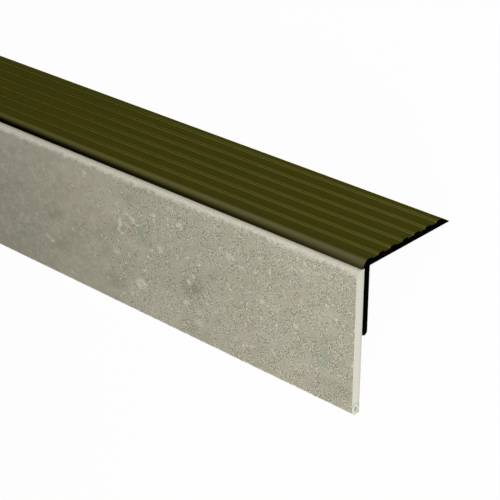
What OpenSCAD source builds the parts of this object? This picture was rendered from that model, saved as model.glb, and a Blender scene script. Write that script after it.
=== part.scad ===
// Stair nosing stock: a ribbed aluminium angle with a strip of riser covering under its lip.
// Both sections are drawn as they sit on a stair: y runs back over the tread from the rear
// face of the leg, and z runs up from the underside of the flange. The stock is then leaned
// over until it lies on two long edges, the tip of the flange and the heel of the strip.

/* [Stock] */
// Length of the stock, both pieces cut off flush
stock_len = 900; // [100:10:3000]

/* [Aluminium angle] */
// Depth of the angle, from the toe of the nose to the tip of the ramp
angle_depth = 50; // [30:0.5:90]
// Height of the angle, from the rib tops to the foot of the leg
angle_height = 30; // [15:0.5:60]
// Thickness of the flange at its ribs, which is the radius of the nose too
flange_t = 2.9; // [2.2:0.05:4]
// Thickness of the leg
leg_t = 2.85; // [1.5:0.05:4]
// How far the round of the nose stands in front of the leg
nose_proud = 0.65; // [0.2:0.05:1.5]
// Radius of the hollow between the round of the nose and its toe
toe_hollow_r = 0.95; // [0.5:0.05:1.5]
// Thickness of the toe at its front edge
toe_t = 0.2; // [0.1:0.05:0.5]
// Run of the ramp behind the last rib
ramp_run = 4.35; // [2:0.05:10]
// Thickness left at the tip of the ramp
tip_t = 0.3; // [0.1:0.05:1]
// Radius in the inner corner between the flange and the leg
heel_r = 0.5; // [0.2:0.05:1.5]

/* [Ribs] */
// Distance from one rib to the next
rib_pitch = 6.7; // [4:0.05:12]
// Width of a rib
rib_w = 3.35; // [1.5:0.05:3.5]
// Height of a rib above the grooves
rib_h = 0.62; // [0.45:0.01:1.2]
// Radius on the edges of a rib and at the foot of its walls
rib_r = 0.2; // [0.05:0.01:0.2]

/* [Riser strip] */
// Thickness of the strip
strip_t = 4; // [3:0.1:8]
// Height of the strip
strip_h = 58.2; // [35:0.1:200]
// How far the top bevel reaches back into the thickness
bevel_back = 2.5; // [0.5:0.05:2.8]
// How far the top bevel reaches down the front face
bevel_down = 1.95; // [0.5:0.05:5]
// Radius on the lower front edge
strip_foot_r = 2; // [0.3:0.05:2.5]
// Clearance between the top of the strip and the underside of the nose
lip_clear = 0.1; // [0:0.05:0.5]

/* [Hidden] */
$fn = 64;

// Nose: centre of its round, then the hollow that runs from it to the toe
nose_y = flange_t - leg_t - nose_proud;
hollow_z = toe_t + toe_hollow_r;
toe_y = nose_y - sqrt(pow(flange_t + toe_hollow_r, 2) - pow(hollow_z, 2));
touch_z = hollow_z * flange_t / (flange_t + toe_hollow_r);

// Flange and leg
tip_y = toe_y + angle_depth;
ramp_y = tip_y - ramp_run;
foot_z = flange_t - angle_height;
foot_r = leg_t / 2;

// Ribs, counted forward from the top of the ramp
groove_w = rib_pitch - rib_w;
groove_count = floor(ramp_y / rib_pitch);

// Strip, on the front face of the leg
strip_front_y = -leg_t - strip_t;
strip_top_z = -lip_clear;
strip_foot_z = strip_top_z - strip_h;

// Resting place: the tip of the flange and the heel of the strip come down to the floor
lean = atan2(-strip_foot_z, tip_y + leg_t);
function leaned_y(y, z) = y * cos(lean) + z * sin(lean);
function leaned_z(y, z) = z * cos(lean) - y * sin(lean);
far_front_y = leaned_y(strip_front_y + strip_foot_r, strip_foot_z + strip_foot_r) - strip_foot_r;
far_back_y = leaned_y(tip_y, tip_t);
floor_z = leaned_z(tip_y, 0);

// Web between two square walls and an arc that touches both, with its corner at the origin
module corner_web(r) {
    difference() {
        square(r);
        translate([r, r]) circle(r);
    }
}

// Quarter round that ends the flange in front, above the leg
module nose_section() {
    intersection() {
        translate([nose_y, 0]) circle(flange_t);
        translate([nose_y - flange_t, 0]) square(flange_t);
    }
}

// Small toe in front of the nose, hollowed out level with the round
module toe_section() {
    difference() {
        translate([toe_y, 0]) square([nose_y - toe_y, touch_z]);
        translate([toe_y, hollow_z]) circle(toe_hollow_r);
    }
}

// Leg that hangs from the flange, with a full round at its foot
module leg_section() {
    translate([-leg_t, foot_z + foot_r]) square([leg_t, -foot_z - foot_r]);
    translate([-foot_r, foot_z + foot_r]) circle(foot_r);
}

// One groove, its rear wall at the origin and its floor at z = 0
module groove_section() {
    difference() {
        translate([-groove_w - rib_r, 0]) square([groove_w + 2 * rib_r, rib_h]);
        for (side = [0, 1])
            translate([-side * groove_w, 0])
                mirror([side, 0])
                    rib_edge();
    }
}

// Edge of a rib beside a groove: a small web at its foot and a rounded crown
module rib_edge() {
    mirror([1, 0]) corner_web(rib_r);
    translate([0, -rib_r]) square([rib_r, rib_h]);
    translate([rib_r, rib_h - rib_r]) circle(rib_r);
}

// Whole section of the angle
module angle_section() {
    difference() {
        union() {
            polygon([
                [nose_y, 0],
                [tip_y, 0],
                [tip_y, tip_t],
                [ramp_y, flange_t],
                [nose_y, flange_t]
            ]);
            nose_section();
            toe_section();
            leg_section();
            mirror([0, 1]) corner_web(heel_r);
        }
        for (i = [0 : groove_count - 1])
            translate([ramp_y - rib_w - i * rib_pitch, flange_t - rib_h])
                groove_section();
    }
}

// Whole section of the strip: bevelled along its top, rounded at its lower front edge
module strip_section() {
    difference() {
        polygon([
            [-leg_t, strip_foot_z],
            [-leg_t, strip_top_z],
            [strip_front_y + bevel_back, strip_top_z],
            [strip_front_y, strip_top_z - bevel_down],
            [strip_front_y, strip_foot_z]
        ]);
        translate([strip_front_y, strip_foot_z]) corner_web(strip_foot_r);
    }
}

// Draws a section out to the stock's length and lays it down on its two long edges
module laid_stock() {
    translate([-stock_len / 2, -(far_front_y + far_back_y) / 2, -floor_z])
        rotate([-lean, 0, 0])
            rotate([90, 0, 90])
                linear_extrude(stock_len)
                    children();
}

// Extruded aluminium angle with its ribbed tread flange, nose and leg
module nosing_profile() {
    color([0.24, 0.22, 0.08])
        laid_stock()
            angle_section();
}

// Strip of stone-look riser covering on the front of the leg
module riser_strip() {
    color([0.65, 0.64, 0.57])
        laid_stock()
            strip_section();
}

nosing_profile();
riser_strip();
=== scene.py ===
"""Dressed scene of a ribbed stair nosing and its riser strip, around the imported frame.

Both pieces are sections carried along the stock. A section is drawn in millimetres as it sits
on a stair: y runs back over the tread from the rear face of the leg, z runs up from the
underside of the flange, and x runs along the stock with 0 at the near cut end. A Place then
lays it down on the floor, on its two long edges, where the frame has it.
"""

import logging
from dataclasses import dataclass
from enum import Enum
from functools import reduce
from math import atan2, cos, degrees, pi, radians, sin, sqrt
from typing import NamedTuple, Optional, Sequence, Union

import bpy
import numpy as np
from mathutils import Matrix, Vector


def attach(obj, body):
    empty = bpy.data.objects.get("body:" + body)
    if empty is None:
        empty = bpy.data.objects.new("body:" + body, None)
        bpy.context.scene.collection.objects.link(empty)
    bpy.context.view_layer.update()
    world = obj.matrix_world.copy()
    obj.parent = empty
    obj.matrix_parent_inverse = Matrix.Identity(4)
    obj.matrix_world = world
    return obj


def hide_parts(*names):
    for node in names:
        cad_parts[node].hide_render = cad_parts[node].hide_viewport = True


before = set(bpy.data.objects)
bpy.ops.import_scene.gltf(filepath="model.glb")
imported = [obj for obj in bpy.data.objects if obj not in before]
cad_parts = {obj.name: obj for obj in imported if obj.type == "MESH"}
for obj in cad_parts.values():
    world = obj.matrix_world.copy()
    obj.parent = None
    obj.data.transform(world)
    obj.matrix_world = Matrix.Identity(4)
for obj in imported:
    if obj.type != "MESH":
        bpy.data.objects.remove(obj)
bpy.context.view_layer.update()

log = logging.getLogger("stair_nosing")

MM = 0.001
BEND_DETAIL = 3.0

Material = bpy.types.Material
Socket = bpy.types.NodeSocket
Value = Union[float, Sequence[float], Socket]
Triple = tuple[float, float, float]
Array = np.ndarray


class Slot(Enum):
    """Material slots of the record."""

    METAL = "bronze_aluminium"
    COVERING = "stone_look_covering"


class Mark(Enum):
    """Values that a mesh carries at its vertices for its finish to read."""

    PAINTED_HIGHLIGHT = "painted_highlight"
    PAINTED_LIGHT = "painted_light"
    LIT = "lit"
    PAINTED_SHADE = "painted_shade"


class Tone(NamedTuple):
    """Colour as it is read off a screen, each part from 0 to 255."""

    red: float
    green: float
    blue: float

    def linear(self) -> tuple[float, ...]:
        """Returns the colour in linear light, with full alpha."""
        parts = [c / 255 for c in self]
        return (*(c / 12.92 if c <= 0.04045 else ((c + 0.055) / 1.055) ** 2.4 for c in parts), 1.0)


BLACK = Tone(0, 0, 0)
WHITE = Tone(255, 255, 255)


# Places and shapes


@dataclass(frozen=True)
class Place:
    """Where the stock lies: a lean about its length, then a shift on the floor.

    The strip's heel and the flange's tip come down to the floor together, so the lean is the
    angle whose tangent is the strip's drop over the run from heel to tip.
    """

    length: float = 900.0
    heel_drop: float = 58.3
    heel_to_tip: float = 48.575765
    shift_y: float = 9.428759
    shift_z: float = 35.129749

    @property
    def lean(self) -> float:
        """Returns the lean in radians."""
        return atan2(self.heel_drop, self.heel_to_tip)

    @property
    def shift(self) -> Array:
        """Returns the shift that follows the lean, in mm."""
        return np.array([self.length / 2, self.shift_y, self.shift_z])

    @property
    def leaning(self) -> Array:
        """Returns the matrix by which rows of x, y and z are leaned."""
        c, s = cos(self.lean), sin(self.lean)
        return np.array([[1.0, 0.0, 0.0], [0.0, c, -s], [0.0, s, c]])

    def turn(self, vector: Sequence[float]) -> Vector:
        """Turns a direction from the stair's frame into the lying frame."""
        return Vector(np.array(vector) @ self.leaning)

    def lay(self, points: Array) -> Array:
        """Moves rows of x, y and z from the stair's frame, in mm, to the lying frame, in metres."""
        return (points @ self.leaning + self.shift) * MM

    def mapping(self) -> tuple[Vector, Vector]:
        """Returns the shift and turn that bring Object coordinates back to the stair's frame."""
        return Vector(self.leaning @ -self.shift * MM), Vector((self.lean, 0.0, 0.0))

    def stations(self, pitch: float) -> Array:
        """Returns places along the stock in mm, a pitch apart, from the far cut end to the near one."""
        return np.linspace(-self.length, 0.0, int(self.length / pitch) + 1)


PLACE = Place()


def arc(centre: Sequence[float], radius: float, start: float, end: float, steps: int) -> Array:
    """Returns the centre plus the radius times the cosine and sine of even angles in degrees."""
    angle = np.radians(np.linspace(start, end, steps + 1))
    return np.stack([centre[0] + radius * np.cos(angle), centre[1] + radius * np.sin(angle)], axis=1)


def run(start: Sequence[float], end: Sequence[float], spacing: float) -> Array:
    """Points evenly spaced on a straight run, without its two ends.

    Args:
        start: y and z of the first end in mm.
        end: y and z of the other end in mm.
        spacing: longest distance between points in mm.

    Returns:
        Rows of y and z.
    """
    first, last = np.array(start), np.array(end)
    count = max(1, int(np.ceil(np.linalg.norm(last - first) / spacing)))
    share = np.arange(1, count)[:, None] / count
    return first + (last - first) * share


def smooth(value: Array, low: float, high: float) -> Array:
    """Returns the smooth step: 0 below low, 1 above high, and 3t^2 - 2t^3 between them."""
    share = np.clip((value - low) / (high - low), 0.0, 1.0)
    return share * share * (3 - 2 * share)


class Step(NamedTuple):
    """Smooth step from start to end, while a value goes from low to high.

    Low may be the greater of the two, and then the step runs the other way.
    """

    low: float
    high: float
    start: float = 0.0
    end: float = 1.0

    def of(self, values: Array) -> Array:
        """Returns the step's result for each value."""
        return self.start + (self.end - self.start) * smooth(values, self.low, self.high)


def product(values: Array, steps: Sequence[Step]) -> Array:
    """Returns the product of the steps' results for each value."""
    return np.prod([step.of(values) for step in steps], axis=0)


def lattice_noise(u: Array, v: Array, cell: float, seed: int) -> Array:
    """Smooth noise from 0 to 1: seeded heights on a square lattice, blended by a smooth step.

    Args:
        u: first place of each point in mm.
        v: second place of each point in mm.
        cell: lattice spacing in mm.
        seed: seed of the heights.

    Returns:
        One height for each point.
    """
    count = 512
    heights = np.random.default_rng(seed).random((count, count))
    places = np.stack([u, v]) / cell
    corners = np.floor(places)
    su, sv = smooth(places - corners, 0.0, 1.0)
    iu, iv = corners.astype(int) % count
    ju, jv = (corners.astype(int) + 1) % count
    low = heights[iu, iv] * (1 - su) + heights[ju, iv] * su
    high = heights[iu, jv] * (1 - su) + heights[ju, jv] * su
    return low * (1 - sv) + high * sv


def unit(rows: Array) -> Array:
    """Returns rows scaled to length 1."""
    return rows / np.linalg.norm(rows, axis=1, keepdims=True)


def outward(outline: Array) -> Array:
    """Outward unit normals at the points of a clockwise closed outline.

    Each is the direction from the point before to the point after, turned a quarter to the
    left, because the inside of a clockwise outline lies to the right.

    Args:
        outline: rows of y and z.

    Returns:
        Rows of y and z, each of length 1.
    """
    before = unit(outline - np.roll(outline, 1, axis=0))
    after = unit(np.roll(outline, -1, axis=0) - outline)
    along = unit(before + after)
    return np.stack([-along[:, 1], along[:, 0]], axis=1)


@dataclass(frozen=True)
class Sweep:
    """A closed section carried along the stock, with a small chamfer at both cut ends.

    A vertex is the section's point, moved in along its normal by the sink at its station, and
    laid down by the Place. The stations run from the far cut end to the near one.
    """

    outline: Array
    stations: Array
    chamfer: float = 0.05

    def places(self) -> Array:
        """Returns the x of every ring in mm: the stations, with the chamfers' rings at both ends."""
        far, near = self.stations[0], self.stations[-1]
        return np.array([far, far + self.chamfer, *self.stations[1:-1], near - self.chamfer, near])

    def grid(self, sink: Union[float, Array] = 0.0) -> Array:
        """Works out every vertex.

        Args:
            sink: how far each vertex lies inside the section, rings by points, in mm.

        Returns:
            An array rings by points by 3 in metres.
        """
        x = self.places()
        depth = np.zeros((len(x), len(self.outline))) + sink
        depth[[0, -1]] += self.chamfer
        normals = outward(self.outline)
        y = self.outline[:, 0] - depth * normals[:, 0]
        z = self.outline[:, 1] - depth * normals[:, 1]
        return PLACE.lay(np.stack([np.broadcast_to(x[:, None], y.shape), y, z], axis=-1))

    def mesh(self, name: str, vertices: Array, crease: float) -> bpy.types.Mesh:
        """Makes the closed mesh: quads between neighbouring rings and one cap at each end.

        The caps and the rings of the chamfers take the second material.

        Args:
            name: name of the mesh.
            vertices: array rings by points by 3.
            crease: angle in degrees from which an edge is sharp.

        Returns:
            The mesh.
        """
        rings, points, _ = vertices.shape
        here = np.arange(rings * points).reshape(rings, points)
        there = np.roll(here, -1, axis=1)
        quads = np.stack([here[:-1], here[1:], there[1:], there[:-1]], axis=-1).reshape(-1, 4)
        faces = quads.tolist() + [here[0].tolist(), here[-1, ::-1].tolist()]
        mesh = bpy.data.meshes.new(name)
        mesh.from_pydata(vertices.reshape(-1, 3).tolist(), [], faces)
        cut = np.zeros(len(faces), dtype=np.int32)
        cut[:points] = 1
        cut[-2 - points:] = 1
        mesh.polygons.foreach_set("material_index", cut)
        mesh.shade_smooth()
        mesh.set_sharp_from_angle(angle=radians(crease))
        mesh.update()
        return mesh


def add_mark(mesh: bpy.types.Mesh, mark: Mark, values: Array) -> None:
    """Stores one value for each vertex of a mesh, in their order, under the mark's name."""
    layer = mesh.attributes.new(mark.value, "FLOAT", "POINT")
    layer.data.foreach_set("value", values.astype(np.float32).ravel())


# Finishes


class Patches(NamedTuple):
    """Noise in patches: lumps in each metre, number and strength of finer layers, and its grade."""

    scale: float
    detail: float
    roughness: float
    step: Step


class Board:
    """Node board of a material or a world, with the few kinds of node that the looks use."""

    def __init__(self, owner: Union[Material, bpy.types.World]) -> None:
        """Clears the owner's nodes.

        Args:
            owner: a new material or world.
        """
        owner.use_nodes = True
        self.owner = owner
        self.tree = owner.node_tree
        self.tree.nodes.clear()

    def node(self, kind: str, inputs: dict[Union[str, int], Value], **settings: object) -> bpy.types.Node:
        """Adds a node.

        Args:
            kind: Blender's name of the node, without ShaderNode.
            inputs: value, tone or socket for each input, by name or number.
            **settings: the node's own settings.

        Returns:
            The node.
        """
        made = self.tree.nodes.new("ShaderNode" + kind)
        for key, setting in settings.items():
            setattr(made, key, setting)
        for key, value in inputs.items():
            if isinstance(value, bpy.types.NodeSocket):
                self.tree.links.new(value, made.inputs[key])
            else:
                made.inputs[key].default_value = value.linear() if isinstance(value, Tone) else value
        return made

    def maths(self, rule: str, *numbers: Value) -> Socket:
        """Returns the result of Blender's sum of this name."""
        return self.node("Math", dict(enumerate(numbers)), operation=rule).outputs[0]

    def vector(self, rule: str, *vectors: Value) -> Socket:
        """Returns the result of Blender's vector sum of this name."""
        return self.node("VectorMath", dict(enumerate(vectors)), operation=rule).outputs[0]

    def grade(self, value: Socket, step: Step) -> Socket:
        """Returns a value graded by a smooth step."""
        ends = dict(zip(("From Min", "From Max", "To Min", "To Max"), step))
        return self.node("MapRange", {"Value": value, **ends}, interpolation_type="SMOOTHSTEP").outputs[0]

    def noise(self, vector: Socket, scale: float, detail: float, roughness: float) -> Socket:
        """Returns fractal noise from about 0.2 to 0.8."""
        inputs = {"Vector": vector, "Scale": scale, "Detail": detail, "Roughness": roughness}
        return self.node("TexNoise", inputs).outputs["Fac"]

    def patches(self, vector: Socket, patches: Patches) -> Socket:
        """Returns noise in patches, graded."""
        return self.grade(self.noise(vector, *patches[:3]), patches.step)


class Pattern(Board):
    """Board of a new material, whose colour is laid coat by coat on the stair's coordinates."""

    def __init__(self, name: str, body: Tone) -> None:
        """Starts the material, and brings its Object coordinates back to the stair's frame.

        Args:
            name: name of the material.
            body: colour under all coats.
        """
        super().__init__(bpy.data.materials.new(name))
        shift, turn = PLACE.mapping()
        origin = self.node("TexCoord", {}).outputs["Object"]
        back = self.node("Mapping", {"Vector": origin, "Location": shift, "Rotation": turn})
        self.stair: Socket = back.outputs["Vector"]
        self.colour: Value = body

    def axis(self, number: int) -> Socket:
        """Returns a place on the stair's frame in mm: 0 for x, 1 for y and 2 for z."""
        return self.maths("DIVIDE", self.node("SeparateXYZ", {0: self.stair}).outputs[number], MM)

    def stretched(self, scale: Sequence[float], turn: Sequence[float] = (0, 0, 0)) -> Socket:
        """Turns the coordinates and then scales them.

        Args:
            scale: factor on each axis after the turn.
            turn: turn about each axis in degrees.

        Returns:
            The new coordinates.
        """
        angles = Vector([radians(a) for a in turn])
        turned = self.node("Mapping", {"Vector": self.stair, "Rotation": angles}).outputs["Vector"]
        return self.node("Mapping", {"Vector": turned, "Scale": Vector(scale)}).outputs["Vector"]

    def bent(self, scale: float, reach: float) -> Socket:
        """Bends the coordinates by a coloured noise, so that round marks get ragged rims.

        Args:
            scale: lumps of the noise in each metre.
            reach: furthest bend in mm.

        Returns:
            The bent coordinates.
        """
        noise = self.node("TexNoise", {"Vector": self.stair, "Scale": scale, "Detail": BEND_DETAIL})
        centred = self.vector("SUBTRACT", noise.outputs["Color"], (0.5, 0.5, 0.5))
        return self.vector("MULTIPLY_ADD", centred, (reach * MM,) * 3, self.stair)

    def away(self, vector: Socket, middle: Sequence[float], scale: Sequence[float]) -> Socket:
        """Distance from a place, on coordinates that are scaled: 1 on the rim of an ellipse.

        Args:
            vector: coordinates in metres.
            middle: middle of the ellipse in mm.
            scale: 1 over its half-size in mm on each axis, and 0 on an axis that doesn't count.

        Returns:
            The distance at each point.
        """
        gap = self.vector("SUBTRACT", vector, Vector(middle) * MM)
        scaled = self.vector("MULTIPLY", gap, Vector(scale) / MM)
        return self.node("VectorMath", {0: scaled}, operation="LENGTH").outputs["Value"]

    def times(self, *shares: Value) -> Socket:
        """Returns the product of shares."""
        return reduce(lambda first, second: self.maths("MULTIPLY", first, second), shares)

    def coat(self, tone: Value, *shares: Value, rule: str = "MIX") -> None:
        """Lays a tone on the colour, as far as the product of its shares goes."""
        inputs = {0: self.times(*shares), 6: self.colour, 7: tone}
        self.colour = self.node("Mix", inputs, data_type="RGBA", blend_type=rule).outputs[2]

    def mark(self, mark: Mark) -> Socket:
        """Returns the value that the mesh carries under this name."""
        return self.node("Attribute", {}, attribute_name=mark.value).outputs["Fac"]

    def finish(self, rough: Value, height: Socket, depth: float, **inputs: Value) -> Material:
        """Closes the board with the shader.

        Args:
            rough: roughness.
            height: height map of the relief, from 0 to 1.
            depth: depth of the relief in mm.
            **inputs: more of the shader's inputs, with _ for a space in their names.

        Returns:
            The material.
        """
        relief = self.node("Bump", {"Height": height, "Strength": 1.0, "Distance": depth * MM})
        named = {key.replace("_", " "): value for key, value in inputs.items()}
        named |= {"Base Color": self.colour, "Roughness": rough, "Normal": relief.outputs[0]}
        shader = self.node("BsdfPrincipled", named)
        self.node("OutputMaterial", {"Surface": shader.outputs["BSDF"]})
        return self.owner


@dataclass(frozen=True)
class BronzeFinish:
    """Dark olive bronze anodising over drawn aluminium, with painted highlights on nose and ribs and
    painted shade under the nose.
    """

    body: Tone = Tone(69, 67, 21)
    brown: Tone = Tone(71, 67, 20)
    green: Tone = Tone(63, 67, 23)
    edge_tint: Tone = Tone(192, 191, 172)
    # Tones of the painted highlight, painted light and painted shade marks.
    coats: tuple[tuple[Mark, Tone], ...] = (
        (Mark.PAINTED_HIGHLIGHT, Tone(101, 97, 69)),
        (Mark.PAINTED_LIGHT, Tone(112, 109, 50)),
        (Mark.LIT, Tone(128, 124, 60)),
        (Mark.PAINTED_SHADE, BLACK),
    )
    brown_clouds: Patches = Patches(28, 3, 0.55, Step(0.4, 0.62))
    green_clouds: Patches = Patches(1, 3, 0.55, Step(0.55, 0.7, 0, 0.7))
    green_scale: Triple = (50, 150, 150)
    drawn_scale: Triple = (6, 2600, 2600)
    drawn_noise: Triple = (1, 2, 0.6)
    drawn_light: Step = Step(0.3, 0.7, 0.91, 1.07)
    drawn_rough: Step = Step(0.25, 0.75, 0.41, 0.5)
    drawn_depth: float = 0.01
    metallic: float = 0.4

    def make(self) -> Material:
        """Makes the material of the drawn surfaces.

        Returns:
            The material.
        """
        board = Pattern("bronze_anodised", self.body)
        lines = board.noise(board.stretched(self.drawn_scale), *self.drawn_noise)
        light = board.grade(lines, self.drawn_light)
        grey = board.node("CombineColor", {0: light, 1: light, 2: light}).outputs[0]
        board.coat(self.brown, board.patches(board.stair, self.brown_clouds))
        board.coat(self.green, board.patches(board.stretched(self.green_scale), self.green_clouds))
        board.coat(grey, 1.0, rule="MULTIPLY")
        for mark, tone in self.coats:
            board.coat(tone, board.mark(mark))
        rough = board.grade(lines, self.drawn_rough)
        specular = {"Specular_IOR_Level": 0.0, "Specular_Tint": self.edge_tint}
        return board.finish(rough, lines, self.drawn_depth, Metallic=self.metallic, **specular)


@dataclass(frozen=True)
class BlackCutFinish:
    """Near-black sawn end of the angle, with the saw's fine arcs across it."""

    tone: Tone = Tone(7, 7, 5)
    saw: tuple[tuple[str, float], ...] = (("Scale", 260), ("Distortion", 1.5), ("Detail", 2))
    saw_dark: Step = Step(0.2, 0.8, 0.1, 0.6)
    saw_depth: float = 0.01
    roughness: float = 0.7

    def make(self) -> Material:
        """Makes the material of the cut ends.

        Returns:
            The material.
        """
        board = Pattern("bronze_cut_end", self.tone)
        inputs = {"Vector": board.stair, **dict(self.saw)}
        wave = board.node("TexWave", inputs, wave_type="RINGS", rings_direction="X")
        arcs = wave.outputs["Fac"]
        board.coat(BLACK, board.grade(arcs, self.saw_dark))
        return board.finish(self.roughness, arcs, self.saw_depth, Specular_IOR_Level=0.0)


class Blotch(NamedTuple):
    """One soft mark on the face of the strip, placed on the stair's frame in mm."""

    x: float
    z: float
    wide: float
    high: float
    strength: float


def blotches(*rows: Sequence[float]) -> tuple[Blotch, ...]:
    """Returns one mark for each row of its five values."""
    return tuple(Blotch(*row) for row in rows)


@dataclass(frozen=True)
class StoneFinish:
    """Stone-look covering: a mottled grey-green face under a lighter cream edge, and a plain back.

    The last rows of the light and the dark marks are broad and faint: they are clouds, not spots. The
    steps from top_edge to behind go by places on the stair's frame in mm.
    """

    face: Tone = Tone(169, 165, 146)
    green: Tone = Tone(159, 163, 146)
    rosy: Tone = Tone(175, 163, 147)
    light: Tone = Tone(200, 197, 179)
    bright: Tone = Tone(212, 208, 191)
    dark: Tone = Tone(56, 54, 42)
    shade: Tone = Tone(104, 101, 84)
    edge: Tone = Tone(240, 236, 216)
    body: Tone = Tone(223, 223, 208)
    grit: Triple = (1500, 3, 0.6)
    grit_rough: Step = Step(0.3, 0.7, 0.66, 0.8)
    grit_depth: float = 0.06
    specular: float = 0.2
    mottle_bend: tuple[float, float] = (420.0, 4.2)
    dark_bend: tuple[float, float] = (300.0, 8.0)
    light_bend: tuple[float, float] = (500.0, 2.5)
    wave: float = 400.0
    wave_start: float = -20.0
    wave_step: Step = Step(-0.8, 0.45)
    mark_rim: tuple[float, float] = (1.35, 0.6)
    breaks: Patches = Patches(650, 2, 0.6, Step(0.36, 0.56, 0.8))
    green_clouds: Patches = Patches(85, 3, 0.6, Step(0.56, 0.66, 0, 0.75))
    rosy_clouds: Patches = Patches(66, 2, 0.5, Step(0.6, 0.72, 0, 0.5))
    slant_scale: Triple = (60, 130, 130)
    slant_turn: Triple = (0, 24, 0)
    slant_noise: Triple = (1, 4, 0.6)
    slant_dark: Step = Step(0.5, 0.74, 0, 0.18)
    slant_light: Step = Step(0.5, 0.26, 0, 0.26)
    mottles: Triple = (310, 4, 0.62)
    mottle_share: Step = Step(0, 1, 1.2, 0.5)
    mottle_dark: Step = Step(0.5, 0.3, 0, 0.14)
    mottle_light: Step = Step(0.52, 0.7, 0, 0.34)
    veins: Triple = (120, 2, 0.5)
    vein_wide: Step = Step(0.016, 0.004)
    vein_patches: Patches = Patches(48, 2, 0.5, Step(0.48, 0.6, 0, 0.55))
    dust: Patches = Patches(900, 2, 0.6, Step(0.5, 0.68, 0, 0.36))
    drifts: Patches = Patches(90, 2, 0.5, Step(0.4, 0.6, 0.1))
    calm: Step = Step(1, 0.2)
    grain_noise: Triple = (270, 2, 0.6)
    grain_swell: float = 0.25
    grain_share: Step = Step(0.62, 0.78, 0.1)
    grain_scale: float = 1700.0
    grain_random: float = 0.95
    grain_plane: tuple[Triple, Triple] = ((1, sqrt(2), 1), (45, 0, 30))
    grain_centre: Step = Step(0.45, 0.16)
    grain_pick: Step = Step(0.08, 1)
    grain_rim: Step = Step(0.4, 0.75, 0, 0.5)
    nicks: Patches = Patches(540, 1, 0.5, Step(0.66, 0.76, 0, 0.7))
    edge_wander: Patches = Patches(420, 4, 0.7, Step(0.3, 0.7, -0.4, 0.4))
    edge_spots: Patches = Patches(1300, 2, 0.6, Step(0.36, 0.6, 0.76))
    top_edge: Step = Step(-2.6, -1.2)
    foot_edge: Step = Step(-56.9, -57.6)
    shade_under_nose: Step = Step(-1, -0.1, 0, 0.42)
    behind: Step = Step(-3.15, -2.95)
    light_marks: tuple[Blotch, ...] = blotches(
        (-106.9, -44.3, 6, 4.8, 0.75), (-104.8, -37.3, 2.4, 1.6, 0.85), (-102.2, -30.6, 2.4, 1.2, 0.8),
        (-121, -34, 4, 3.2, 0.55), (-114.6, -15.8, 3.6, 1.6, 0.6), (-111.8, -16.7, 3.2, 1.5, 0.7),
        (-110.3, -17.9, 2.2, 2.2, 0.75), (-108.3, -18.6, 2.6, 1, 0.5), (-114.5, -20.7, 4, 1.4, 0.45),
        (-118.3, -21, 2.2, 4.4, 0.75), (-119.3, -24.2, 2.6, 1.6, 0.8), (-117.2, -25.5, 2.6, 1.6, 0.7),
        (-99.8, -11.7, 3.6, 1.8, 0.8), (-91.3, -10.6, 1.8, 1.8, 0.6), (-89.2, -6, 4, 3, 0.45),
        (-85.3, -11.3, 3.6, 2.4, 0.8), (-96.3, -25, 3.6, 2.6, 0.65), (-81, -33.5, 2.6, 1.6, 0.8),
        (-82.5, -43, 3.6, 1.8, 0.55), (-76, -49.3, 5, 3, 0.5), (-75.6, -45, 4, 2.4, 0.4),
        (-59, -15, 5, 2.4, 0.4), (-53.5, -17.3, 4, 1.1, 0.5), (-60.2, -27, 2.6, 1.8, 0.4),
        (-51.5, -49.2, 3, 1.8, 0.6), (-48.3, -48.8, 3, 1.6, 0.4), (-43.2, -27.6, 2.4, 1.8, 0.7),
        (-39.8, -28.6, 1.8, 1.4, 0.5), (-26.9, -31.6, 3, 1.6, 0.9), (-22, -11, 2.6, 1.4, 0.5),
        (-17.8, -7, 2.4, 1.8, 0.5), (-13, -14.8, 2.6, 1.2, 0.45), (-13.5, -19.7, 4, 3.4, 0.2),
        (-163, -42.2, 4, 1.8, 0.4), (-160.3, -43.5, 2.6, 1.6, 0.8), (-138, -5.6, 2.6, 2.6, 0.55),
        (-100, -50, 32, 17, 0.16), (-121, -11, 17, 18, 0.13), (-143, -7, 18, 10, 0.11),
        (-180, -7.5, 22, 10, 0.11), (-74, -5, 18, 8, 0.09), (-31, -6, 19, 9, 0.12),
        (-37, -42.5, 20, 13, 0.1),
    )
    dark_marks: tuple[Blotch, ...] = blotches(
        (-80.2, -36, 10, 8, 0.34), (-75.6, -34.2, 8, 6, 0.3), (-79, -50.5, 9, 3.5, 0.07),
        (-120.8, -48, 12, 8, 0.18), (-129, -34.7, 8, 14, 0.14), (-160.5, -45.5, 8, 4, 0.1),
        (-154, -43.5, 9, 4, 0.12), (-147.5, -41, 8, 4, 0.1), (-158, -28.8, 10, 8, 0.1),
        (-106.7, -23, 9, 5, 0.12), (-40, -14.7, 12, 5, 0.12), (-25.8, -39.7, 4, 6, 0.12),
        (-6.7, -50, 10, 6, 0.15), (-183, -38, 44, 34, 0.08), (-150, -20, 18, 10, 0.06),
        (-50, -21, 12, 10, 0.07), (-12, -52.5, 26, 10, 0.08),
    )

    def spot(self, board: Pattern, bent: Socket, blotch: Blotch) -> Socket:
        """Returns the shares of a soft spot: its strength in the middle, and 0 at a ragged rim."""
        far = board.away(bent, (blotch.x, 0.0, blotch.z), (2.0 / blotch.wide, 0.0, 2.0 / blotch.high))
        return board.grade(far, Step(*self.mark_rim, 0, blotch.strength))

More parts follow.
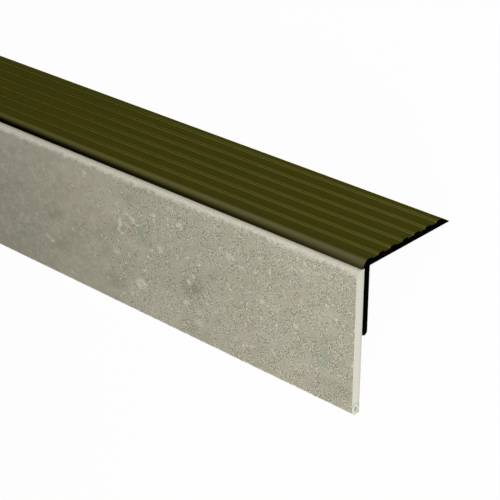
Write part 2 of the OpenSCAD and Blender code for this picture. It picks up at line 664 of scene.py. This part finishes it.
    def make(self) -> Material:
        """Makes the material of the face, the edges and the back.

        The pattern is livelier and fainter by turns along the stock, as a cosine of the place.

        Returns:
            The material.
        """
        board = Pattern("stone_look_face", self.face)
        bent = board.bent(*self.mottle_bend)
        ragged = board.bent(*self.dark_bend)
        torn = board.bent(*self.light_bend)
        breaks = board.patches(bent, self.breaks)
        along = board.maths("SUBTRACT", board.axis(0), self.wave_start)
        turn = board.times(along, 2 * pi / self.wave)
        lively = board.grade(board.maths("COSINE", turn), self.wave_step)
        self.lay_clouds(board, bent)
        self.lay_mottles(board, bent, lively)
        for blotch in self.dark_marks:
            board.coat(self.shade, self.spot(board, ragged, blotch))
        for blotch in self.light_marks:
            board.coat(self.bright, self.spot(board, torn, blotch), breaks)
        self.lay_flecks(board, lively)
        self.lay_edges(board)
        grit = board.noise(board.stair, *self.grit)
        rough = board.grade(grit, self.grit_rough)
        return board.finish(rough, grit, self.grit_depth, Specular_IOR_Level=self.specular)

    def lay_clouds(self, board: Pattern, bent: Socket) -> None:
        """Lays ragged greenish patches, a few rosy ones, and broad slanting clouds.

        Args:
            board: the board.
            bent: bent coordinates.
        """
        board.coat(self.green, board.patches(bent, self.green_clouds))
        board.coat(self.rosy, board.patches(bent, self.rosy_clouds))
        slant = board.noise(board.stretched(self.slant_scale, self.slant_turn), *self.slant_noise)
        board.coat(self.shade, board.grade(slant, self.slant_dark))
        board.coat(self.light, board.grade(slant, self.slant_light))

    def lay_mottles(self, board: Pattern, bent: Socket, lively: Socket) -> None:
        """Lays ragged mottles, thin curled veins in patches, and drifts of dust where it is calm.

        A vein runs where a noise is close to its middle value, which is along a closed curve.

        Args:
            board: the board.
            bent: bent coordinates.
            lively: how lively the grain is, from 0 to 1. Mottles and dust give way to it.
        """
        lumps = board.noise(bent, *self.mottles)
        share = board.grade(lively, self.mottle_share)
        board.coat(self.shade, board.grade(lumps, self.mottle_dark), share)
        board.coat(self.light, board.grade(lumps, self.mottle_light), share)
        curve = board.maths("ABSOLUTE", board.maths("SUBTRACT", board.noise(bent, *self.veins), 0.5))
        veined = board.patches(board.stair, self.vein_patches)
        board.coat(self.light, board.grade(curve, self.vein_wide), veined)
        dust = board.patches(board.stair, self.dust)
        board.coat(self.bright, dust, board.patches(bent, self.drifts), board.grade(lively, self.calm))

    def lay_flecks(self, board: Pattern, lively: Socket) -> None:
        """Lays fine dark and light grains in patches, close together where it is lively.

        Each cell of the pattern has a dark grain about its centre, as strong as a random number
        of its own, and is lighter at its rim. The pattern lies in a plane that leans 45 degrees,
        so that it shows on the face, the bevel and the top alike. Small nicks show light.

        Args:
            board: the board.
            lively: how lively the grain is, from 0 to 1.
        """
        close = board.noise(board.stair, *self.grain_noise)
        close = board.maths("ADD", close, board.times(lively, self.grain_swell))
        share = board.grade(close, self.grain_share)
        plane = board.stretched(*self.grain_plane)
        inputs = {"Vector": plane, "Scale": self.grain_scale, "Randomness": self.grain_random}
        cells = board.node("TexVoronoi", inputs, voronoi_dimensions="2D").outputs
        pick = board.node("SeparateColor", {0: cells["Color"]}).outputs[0]
        centre = board.grade(cells["Distance"], self.grain_centre)
        board.coat(self.dark, centre, share, board.grade(pick, self.grain_pick))
        rim = board.grade(cells["Distance"], self.grain_rim)
        nicks = board.patches(board.stair, self.nicks)
        board.coat(self.bright, board.maths("MAXIMUM", rim, nicks), share)

    def lay_edges(self, board: Pattern) -> None:
        """Lays the cream edges: the bevel, fading raggedly into the face, and the foot's line.

        The bevel gets painted shade towards its crest, where it runs in under the nose. The back has no
        pattern and shows the plain body.

        Args:
            board: the board.
        """
        height = board.axis(2)
        level = board.maths("ADD", height, board.patches(board.stair, self.edge_wander))
        foot = board.grade(level, self.foot_edge)
        edges = board.maths("MAXIMUM", board.grade(level, self.top_edge), foot)
        board.coat(self.edge, edges, board.patches(board.stair, self.edge_spots))
        # Painted shade on the bevel towards its crest, under the nose.
        board.coat(self.shade, board.grade(height, self.shade_under_nose))
        board.coat(self.body, board.grade(board.axis(1), self.behind))


class FootRing(NamedTuple):
    """One of the nested ellipses at the foot of the cut end: its tone, place, sizes and rim.

    It stands back of the foot's middle, and wide and high are half its sizes, in mm. The step
    gives its share by the distance from its middle, which is 1 on the ellipse.
    """

    tone: Tone
    back: float
    wide: float
    high: float
    step: Step


@dataclass(frozen=True)
class CreamCutFinish:
    """Smooth cream body of the covering where it is cut, coarser under its bevel and at its front.

    The steps of top, front and rear go by places on the stair's frame in mm.
    """

    body: Tone = Tone(223, 223, 208)
    coarse: Tone = Tone(219, 216, 199)
    shade: Tone = Tone(158, 157, 138)
    grit: Triple = (1300, 3, 0.6)
    grit_rough: Step = Step(0.3, 0.7, 0.62, 0.74)
    grit_depth: float = 0.03
    specular: float = 0.2
    ragged: Step = Step(0.2, 0.8, -0.5, 0.5)
    spots: Step = Step(0.35, 0.65, 0.25)
    top: Step = Step(-4.2, -3)
    front: Step = Step(-6.1, -6.7, 0, 0.7)
    rear: Step = Step(-4.1, -3, 0, 0.3)
    foot: tuple[float, float] = (-5.15, -55.95)
    # The nested rings paint highlight and shade of a rounded foot on the flat cut end.
    rings: tuple[FootRing, ...] = (
        FootRing(Tone(158, 157, 138), 0.1, 2.5, 2.6, Step(1.1, 0.85, 0, 0.42)),
        FootRing(Tone(232, 233, 214), 0, 1.65, 1.95, Step(1.1, 0.9)),
        FootRing(Tone(214, 214, 198), -0.05, 1, 1.35, Step(1.1, 0.85)),
        FootRing(Tone(164, 162, 143), 0.25, 0.65, 1.15, Step(1.3, 0.5)),
    )

    def make(self) -> Material:
        """Makes the material of the cut ends.

        Returns:
            The material.
        """
        board = Pattern("covering_cut_end", self.body)
        depth = board.axis(1)
        grit = board.noise(board.stair, *self.grit)
        level = board.maths("ADD", board.axis(2), board.grade(grit, self.ragged))
        top = board.times(board.grade(level, self.top), board.grade(grit, self.spots))
        board.coat(self.coarse, board.maths("MAXIMUM", top, board.grade(depth, self.front)))
        board.coat(self.shade, board.grade(depth, self.rear))
        for ring in self.rings:
            middle = (0.0, self.foot[0] + ring.back, self.foot[1])
            far = board.away(board.stair, middle, (0.0, 1.0 / ring.wide, 1.0 / ring.high))
            board.coat(ring.tone, board.grade(far, ring.step))
        rough = board.grade(grit, self.grit_rough)
        return board.finish(rough, grit, self.grit_depth, Specular_IOR_Level=self.specular)


# Pieces


def add_piece(name: str, mesh: bpy.types.Mesh, slot: Slot, *finishes: Material) -> bpy.types.Object:
    """Adds a finished piece that stands for the CAD node of the same purpose.

    Args:
        name: name of the CAD node.
        mesh: the piece's mesh, in place.
        slot: material slot of the record; not used.
        *finishes: its materials, the drawn surfaces first and the cut ends second.

    Returns:
        The piece.
    """
    piece = bpy.data.objects.new(name + "_dressed", mesh)
    bpy.context.scene.collection.objects.link(piece)
    for finish in finishes:
        mesh.materials.append(finish)
    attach(piece, "root")
    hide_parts(name)
    return piece


@dataclass(frozen=True)
class NosingAngle:
    """The ribbed aluminium angle. Sizes are in mm, as in the part's source.

    Its steps are the numbers of edges round an arc, and its spacings those between points.
    """

    depth: float = 50.0
    height: float = 30.0
    flange_t: float = 2.9
    leg_t: float = 2.85
    nose_proud: float = 0.65
    hollow_r: float = 0.95
    toe_t: float = 0.2
    ramp_run: float = 4.35
    tip_t: float = 0.3
    heel_r: float = 0.5
    rib_pitch: float = 6.7
    rib_w: float = 3.35
    rib_h: float = 0.62
    rib_r: float = 0.2
    rib_steps: int = 6
    hollow_steps: int = 12
    nose_steps: int = 40
    heel_steps: int = 8
    foot_steps: int = 20
    floor_spacing: float = 0.4
    top_spacing: float = 0.6
    ramp_spacing: float = 0.8
    flat_spacing: float = 3.0
    ring_pitch: float = 6.0
    crease: float = 30.0

    @property
    def nose_y(self) -> float:
        """Returns the y of the nose's centre."""
        return self.flange_t - self.leg_t - self.nose_proud

    @property
    def hollow_z(self) -> float:
        """Returns the height of the hollow's centre."""
        return self.toe_t + self.hollow_r

    @property
    def toe_y(self) -> float:
        """Returns the y of the toe: the hollow and the round of the nose touch there."""
        return self.nose_y - sqrt((self.flange_t + self.hollow_r) ** 2 - self.hollow_z**2)

    @property
    def ramp_y(self) -> float:
        """Returns the y of the ramp's top."""
        return self.toe_y + self.depth - self.ramp_run

    @property
    def touch(self) -> float:
        """Returns the angle on the nose, in degrees, at which it runs into the hollow."""
        return degrees(atan2(self.hollow_z, self.toe_y - self.nose_y))

    def groove(self, rear: float) -> Array:
        """One groove from its front crown to its rear crown: four arcs of the rib radius.

        Args:
            rear: y of its rear wall.

        Returns:
            Rows of y and z.
        """
        r, steps = self.rib_r, self.rib_steps
        front = rear - (self.rib_pitch - self.rib_w)
        crown = self.flange_t - r
        foot = self.flange_t - self.rib_h + r
        return np.concatenate([
            arc((front - r, crown), r, 90, 0, steps),
            arc((front + r, foot), r, 180, 270, steps),
            run((front + r, foot - r), (rear - r, foot - r), self.floor_spacing),
            arc((rear - r, foot), r, 270, 360, steps),
            arc((rear + r, crown), r, 180, 90, steps),
        ])

    def outline(self) -> Array:
        """Whole section, clockwise from the toe: hollow, nose, ribs, ramp, underside and leg.

        Returns:
            Rows of y and z.
        """
        top = self.flange_t
        tip_y = self.toe_y + self.depth
        parts = [
            np.array([[self.toe_y, 0.0]]),
            arc((self.toe_y, self.hollow_z), self.hollow_r, -90, self.touch - 180, self.hollow_steps),
            arc((self.nose_y, 0.0), top, self.touch, 90, self.nose_steps)[1:],
        ]
        for i in reversed(range(int(self.ramp_y / self.rib_pitch))):
            groove = self.groove(self.ramp_y - self.rib_w - i * self.rib_pitch)
            parts += [run(parts[-1][-1], groove[0], self.top_spacing), groove]
        foot_r = self.leg_t / 2
        foot_z = top - self.height + foot_r
        flat = self.flat_spacing
        parts += [
            run(parts[-1][-1], (self.ramp_y, top), self.top_spacing),
            np.array([[self.ramp_y, top]]),
            run((self.ramp_y, top), (tip_y, self.tip_t), self.ramp_spacing),
            np.array([[tip_y, self.tip_t], [tip_y, 0.0]]),
            run((tip_y, 0.0), (self.heel_r, 0.0), flat),
            arc((self.heel_r, -self.heel_r), self.heel_r, 90, 180, self.heel_steps),
            run((0.0, -self.heel_r), (0.0, foot_z), flat),
            arc((-foot_r, foot_z), foot_r, 0, -180, self.foot_steps),
            run((-self.leg_t, foot_z), (-self.leg_t, 0.0), flat),
            np.array([[-self.leg_t, 0.0]]),
        ]
        return np.concatenate(parts)

    def build(self) -> bpy.types.Object:
        """Builds and dresses the angle.

        Returns:
            The piece.
        """
        sweep = Sweep(self.outline(), PLACE.stations(self.ring_pitch))
        mesh = sweep.mesh("nosing_profile_dressed", sweep.grid(), self.crease)
        light_and_shade = PaintedLightAndShade(self, sweep)
        # Painted highlight, painted light and painted shade, one share for each vertex.
        add_mark(mesh, Mark.PAINTED_HIGHLIGHT, light_and_shade.painted_highlight())
        add_mark(mesh, Mark.PAINTED_LIGHT, light_and_shade.painted_light())
        add_mark(mesh, Mark.LIT, light_and_shade.lit())
        add_mark(mesh, Mark.PAINTED_SHADE, light_and_shade.painted_shade())
        finishes = BronzeFinish().make(), BlackCutFinish().make()
        return add_piece("nosing_profile", mesh, Slot.METAL, *finishes)


@dataclass(frozen=True)
class PaintedLightAndShade:
    """How far the bronze carries painted highlights, painted light and painted shade at each vertex of
    the angle.

    Nose steps go by the angle round the nose in degrees. Fades go by the distance from the near
    cut end in mm, and ends are the distances over which an end's own painted light falls to 1 over e.
    Steps of the ribs go by the distance behind a rib's front wall, or by height, in mm. The
    tread's range is from the first y given to the second past the last rib's wall. The arrays
    of shares are stations by points.
    """

    angle: NosingAngle
    sweep: Sweep
    nose_in: Step = Step(96.5, 125)
    nose_out: Step = Step(126, 166)
    nose_fade: Step = Step(10, 270, 0.9, 0.05)
    nose_light: float = 0.42
    nose_kept: float = 0.55
    nose_end: float = 60.0
    hollow_turn: float = 13.4
    slack: float = 0.01
    before_wall: float = 3.4
    tread: tuple[float, float] = (0.5, 1.6)
    shade_from: float = 118.0
    shade_square: Triple = (0.00072, 0.00056, 75)
    shade_cube: tuple[float, float, float, float] = (0.000016, 180.0, 50.0, 0.00004)
    floor_share: float = 0.1
    floor_depth: Step = Step(0.15, 0.4)
    floor_end: float = 300.0
    wall_height: Step = Step(-0.3, -0.1, 1, 0)
    wall_ahead: tuple[Step, Step] = (Step(-0.3, 0, 0, 0.92), Step(-1.6, -0.3, 0, 0.08))
    wall_end: float = 0.5
    wall_fade: Step = Step(125, 175, 0.95, 0.7)
    crown: tuple[Step, Step] = (Step(-0.05, 0.2), Step(0.2, 0.7, 1, 0))
    crown_fade: Step = Step(0, 200, 0.6, 0)
    top: tuple[Step, Step] = (Step(0.2, 0.7), Step(0.8, 1.4, 1, 0))
    top_fade: tuple[Step, Step] = (Step(40, 110, 0.14, 0.27), Step(120, 215, 1, 0))

    @property
    def along(self) -> Array:
        """Returns the distance of each station from the near cut end."""
        return -self.sweep.places()

    def turn(self) -> Array:
        """Angle of each point round the nose, from 90 on the tread to 176 on the toe.

        On the round it is the angle about the nose's centre. Past the place where the hollow
        starts it grows with the square root of the drop below that place.

        Returns:
            The angle in degrees, and 90 away from the nose.
        """
        y = self.sweep.outline[:, 0] - self.angle.nose_y
        z = self.sweep.outline[:, 1]
        touch_z = self.angle.flange_t * sin(radians(self.angle.touch))
        below = np.clip((touch_z - z) / touch_z, 0.0, 1.0)
        round_nose = np.degrees(np.arctan2(np.maximum(z, 1e-6), y))
        turn = np.where(z < touch_z, self.angle.touch + self.hollow_turn * np.sqrt(below), round_nose)
        on_toe = (z > -self.slack) & (self.sweep.outline[:, 0] < -self.angle.leg_t - self.slack)
        return np.where((y < 0.0) & (on_toe | (z > touch_z)), turn, 90.0)

    def past_wall(self) -> Array:
        """Distance of each point back from the front wall of its rib, in mm.

        It starts below 0 at the front of the groove and runs through 0 on the wall over the rib
        behind. Points off the ribbed tread are given a whole pitch.

        Returns:
            The distances.
        """
        angle, ahead = self.angle, self.before_wall
        y, z = self.sweep.outline.T
        y_from, past = self.tread
        last = angle.ramp_y - angle.rib_w
        on_tread = (z > angle.flange_t - angle.rib_h - self.slack) & (y > y_from) & (y < last + past)
        return np.where(on_tread, (y - last + ahead) % angle.rib_pitch - ahead, angle.rib_pitch)

    def painted_highlight(self) -> Array:
        """How far the finish carries a greyer painted highlight over the nose.

        The grey fades along the stock. Below the front of the nose it grades out, by half at
        the near cut end and almost to nothing beyond 100 mm.

        Returns:
            The shares.
        """
        turn = self.turn()
        kept = self.nose_kept * np.exp(-self.along / self.nose_end)
        out = np.outer(1.0 - kept, self.nose_out.of(turn))
        return np.outer(self.nose_fade.of(self.along), self.nose_in.of(turn)) * (1.0 - out)

    def painted_light(self) -> Array:
        """How far the grooves' floors and the nose are brightened a little, as painted light.

        The floors are brightest at the near cut end. The nose has none there and comes up to
        its share with 1 minus e to the power of minus the distance over the nose's end.

        Returns:
            The shares.
        """
        depth = self.angle.flange_t - self.sweep.outline[:, 1]
        on_tread = self.past_wall() < self.angle.rib_pitch
        floor = np.where(on_tread, self.floor_share * self.floor_depth.of(depth), 0.0)
        floor_fade = np.exp(-self.along / self.floor_end)
        nose_fade = self.nose_light * (1.0 - np.exp(-self.along / self.nose_end))
        return np.outer(floor_fade, floor) + np.outer(nose_fade, self.nose_in.of(self.turn()))

    def lit(self) -> Array:
        """How far the ribs' front edges show light: the wall, its crown and the top behind it.

        The lower half of a wall is lit whole, and the floor in front of it a little. The top is
        lit most about 0.8 mm behind the wall. Crown and top fade to nothing along the stock.

        Returns:
            The shares.
        """
        past = self.past_wall()
        ahead = self.wall_ahead[0].of(past) + self.wall_ahead[1].of(past)
        height = self.wall_height.of(self.sweep.outline[:, 1] - self.angle.flange_t)
        bands = (
            (self.wall_fade.of(self.along), np.where(past < self.wall_end, height * ahead, 0.0)),
            (self.crown_fade.of(self.along), product(past, self.crown)),
            (product(self.along, self.top_fade), product(past, self.top)),
        )
        return sum(np.outer(fade, band) for fade, band in bands)

    def painted_shade(self) -> Array:
        """How far the finish is darkened to black under the nose, as painted shade.

        What stays is e to the power of minus the sum of two terms: the square and the cube of
        the turn past the start of the painted shade, times factors that grow along the stock.

        Returns:
            The shares.
        """
        past = np.maximum(self.turn() - self.shade_from, 0.0)
        full, less, end = self.shade_square
        square = full - less * np.exp(-self.along / end)
        start, middle, end, most = self.shade_cube
        cube = np.minimum(start * np.exp((self.along - middle) / end), most)
        return 1.0 - np.exp(-np.outer(square, past**2) - np.outer(cube, past**3))


@dataclass(frozen=True)
class RiserStrip:
    """The bevelled strip of covering under the nose. Sizes are in mm, as in the part's source.

    The steps from grain_in to heel_up fade the grain and the chips by the distance in front of
    the face, above the brow, below the nose and above the heel. Noises have cells and a seed.
    """

    back_y: float = -2.85
    thick: float = 4.0
    top_z: float = -0.1
    high: float = 58.2
    bevel_back: float = 2.5
    bevel_down: float = 1.95
    foot_r: float = 2.0
    foot_steps: int = 9
    back_spacing: float = 8.0
    heel_spacing: float = 1.0
    face_spacing: float = 1.3
    brow_band: float = 2.0
    brow_spacing: float = 0.3
    bevel_spacing: float = 0.4
    top_spacing: float = 0.75
    ring_pitch: float = 1.0
    end_chamfer: float = 0.08
    crease: float = 32.0
    chip_depth: float = 0.05
    chip_noise: tuple[float, int] = (1.6, 21)
    grain_depth: float = 0.03
    grain_noises: tuple[tuple[float, float, int], ...] = ((0.6, 2.2, 11), (0.4, 1.05, 12))
    noise_from: tuple[float, float] = (1000.0, 100.0)
    grain_in: Step = Step(-0.4, -0.02)
    chips_up: Step = Step(-0.9, -0.1)
    chips_down: Step = Step(0.1, 0.5)
    heel_up: Step = Step(0, 1)

    def outline(self) -> Array:
        """Whole section, clockwise from the upper rear corner: back, foot, face, bevel and top.

        Returns:
            Rows of y and z.
        """
        back = self.back_y
        front = back - self.thick
        foot = self.top_z - self.high
        crest = (front + self.bevel_back, self.top_z)
        brow = (front, self.top_z - self.bevel_down)
        fine_from = (front, brow[1] - self.brow_band)
        return np.concatenate([
            np.array([[back, self.top_z]]),
            run((back, self.top_z), (back, foot), self.back_spacing),
            np.array([[back, foot]]),
            run((back, foot), (front + self.foot_r, foot), self.heel_spacing),
            arc((front + self.foot_r, foot + self.foot_r), self.foot_r, 270, 180, self.foot_steps),
            run((front, foot + self.foot_r), fine_from, self.face_spacing),
            run(fine_from, brow, self.brow_spacing),
            np.array([brow]),
            run(brow, crest, self.bevel_spacing),
            np.array([crest]),
            run(crest, (back, self.top_z), self.top_spacing),
        ])

    def sink(self, sweep: Sweep) -> Array:
        """How far each vertex lies inside the plain section.

        The face sinks by the grain depth times a sum of noises, each times its share. The bevel
        and the brow below it sink by the chip depth times the square of a noise, which fades
        out below the brow and on top. The heel doesn't sink.

        Args:
            sweep: the strip's sweep.

        Returns:
            Depths in mm, stations by points.
        """
        x = sweep.places()
        y, z = sweep.outline.T
        along = np.broadcast_to(x[:, None], (len(x), len(y))) + self.noise_from[0]
        down = np.broadcast_to(self.noise_from[1] - z - y, along.shape)
        brow = self.top_z - self.bevel_down
        foot = self.top_z - self.high
        grain = sum(share * lattice_noise(along, down, *noise) for share, *noise in self.grain_noises)
        chips = lattice_noise(along, down, *self.chip_noise) ** 2
        on_face = self.grain_in.of(self.back_y - self.thick - y)
        on_edge = self.chips_up.of(z - brow) * self.chips_down.of(-z)
        depth = grain * self.grain_depth * on_face + chips * self.chip_depth * on_edge
        return depth * self.heel_up.of(z - foot)

    def build(self) -> bpy.types.Object:
        """Builds and dresses the strip.

        Returns:
            The piece.
        """
        sweep = Sweep(self.outline(), PLACE.stations(self.ring_pitch), self.end_chamfer)
        mesh = sweep.mesh("riser_strip_dressed", sweep.grid(self.sink(sweep)), self.crease)
        finishes = StoneFinish().make(), CreamCutFinish().make()
        return add_piece("riser_strip", mesh, Slot.COVERING, *finishes)


# Studio


@dataclass(frozen=True)
class Lamp:
    """A soft lamp that points at a place on the stock: a round panel, or a beam with a soft edge."""

    name: str
    place: Triple
    target: Triple
    size: float
    power: float
    beam: Optional[float] = None

    def hang(self) -> None:
        """Hangs the lamp, turned so that it shines from its place to its target."""
        if self.beam is None:
            data = bpy.data.lights.new(self.name, "AREA")
            data.shape = "DISK"
            data.size = self.size
        else:
            data = bpy.data.lights.new(self.name, "SPOT")
            data.shadow_soft_size = self.size / 2
            data.spot_size = radians(self.beam)
            data.spot_blend = 1.0
        data.energy = self.power
        lamp = bpy.data.objects.new(self.name, data)
        place = Vector(self.place)
        turn = (Vector(self.target) - place).to_track_quat("-Z", "Y").to_matrix().to_4x4()
        lamp.matrix_world = Matrix.Translation(place) @ turn
        lamp.visible_camera = False
        bpy.context.scene.collection.objects.link(lamp)


@dataclass(frozen=True)
class Studio:
    """A white floor, an even white surround and soft lamps."""

    fill: float = 0.318
    floor_tone: float = 0.82
    floor_share: float = 0.97
    floor_reach: float = 8.0
    lamps: tuple[Lamp, ...] = (
        Lamp("key_lamp", (0.75, -0.47, 0.3), (0.45, -0.005, 0.042), 0.16, 10.6, 38.0),
        Lamp("top_lamp", (0.70, 0.18, 0.66), (0.4, 0.0, 0.03), 0.35, 1.34),
    )

    def seen(self, board: Board) -> Socket:
        """Share of white: 1 for camera, glossy and transmission rays, and 0 for others.

        Args:
            board: board that it is for.

        Returns:
            The share.
        """
        rays = board.node("LightPath", {}).outputs
        either = board.maths("MAXIMUM", rays["Is Camera Ray"], rays["Is Glossy Ray"])
        return board.maths("MAXIMUM", either, rays["Is Transmission Ray"])

    def surround(self) -> None:
        """Makes the world: white where it is seen, and a plain fill of light elsewhere."""
        world = bpy.data.worlds.new("surround")
        bpy.context.scene.world = world
        board = Board(world)
        ends = {"To Min": self.fill, "To Max": 1.0}
        strength = board.node("MapRange", {"Value": self.seen(board), **ends})
        back = board.node("Background", {"Color": WHITE, "Strength": strength.outputs["Result"]})
        board.node("OutputWorld", {"Surface": back.outputs[0]})

    def floor(self) -> None:
        """Makes the floor: diffuse white, mostly plain white where it is seen."""
        reach = self.floor_reach
        mesh = bpy.data.meshes.new("studio_floor")
        corners = [(-reach, -reach, 0), (reach, -reach, 0), (reach, reach, 0), (-reach, reach, 0)]
        mesh.from_pydata(corners, [], [(0, 1, 2, 3)])
        floor = bpy.data.objects.new("studio_floor", mesh)
        bpy.context.scene.collection.objects.link(floor)
        board = Board(bpy.data.materials.new("studio_floor"))
        share = board.maths("MULTIPLY", self.seen(board), self.floor_share)
        white = board.node("BsdfDiffuse", {"Color": (self.floor_tone,) * 3 + (1.0,)}).outputs[0]
        plain = board.node("Emission", {"Color": WHITE, "Strength": 1.0}).outputs[0]
        mixed = board.node("MixShader", {0: share, 1: white, 2: plain}).outputs[0]
        board.node("OutputMaterial", {"Surface": mixed})
        mesh.materials.append(board.owner)

    def build(self) -> None:
        """Builds the surround, the floor and the lamps."""
        self.surround()
        self.floor()
        for lamp in self.lamps:
            lamp.hang()


@dataclass(frozen=True)
class StairCamera:
    """Camera at the viewing angle of the picture, given on the stair's frame.

    Angles are in degrees, and the distance, the aim and the lens in mm.
    """

    azimuth: float = 42.5212
    elevation: float = 27.4517
    distance: float = 515.1425
    lens: float = 108.8066
    aim: Triple = (-31.7628, -25.854, 4.6433)

    def build(self) -> None:
        """Makes the camera: it looks along its azimuth, down by its elevation, at the aim."""
        a = radians(self.azimuth)
        e = radians(self.elevation)
        ahead = Vector((-sin(a) * cos(e), cos(a) * cos(e), -sin(e)))
        right = Vector((cos(a), sin(a), 0.0))
        up = right.cross(ahead)
        place = Vector(self.aim) - ahead * self.distance
        data = bpy.data.cameras.new("stair_camera")
        data.lens = self.lens
        camera = bpy.data.objects.new("stair_camera", data)
        axes = Matrix((PLACE.turn(right), PLACE.turn(up), -PLACE.turn(ahead))).transposed()
        camera.matrix_world = Matrix.Translation(PLACE.lay(np.array(place))) @ axes.to_4x4()
        bpy.context.scene.collection.objects.link(camera)
        bpy.context.scene.camera = camera


def main() -> None:
    """Builds the camera, the studio and both pieces."""
    logging.basicConfig(level=logging.INFO, format="%(name)s: %(message)s")
    bpy.context.scene.view_settings.view_transform = "Standard"
    StairCamera().build()
    Studio().build()
    for part in (NosingAngle(), RiserStrip()):
        piece = part.build()
        mesh = piece.data
        log.info("%s: %d vertices, %d faces", piece.name, len(mesh.vertices), len(mesh.polygons))


if __name__ == "__main__":
    main()
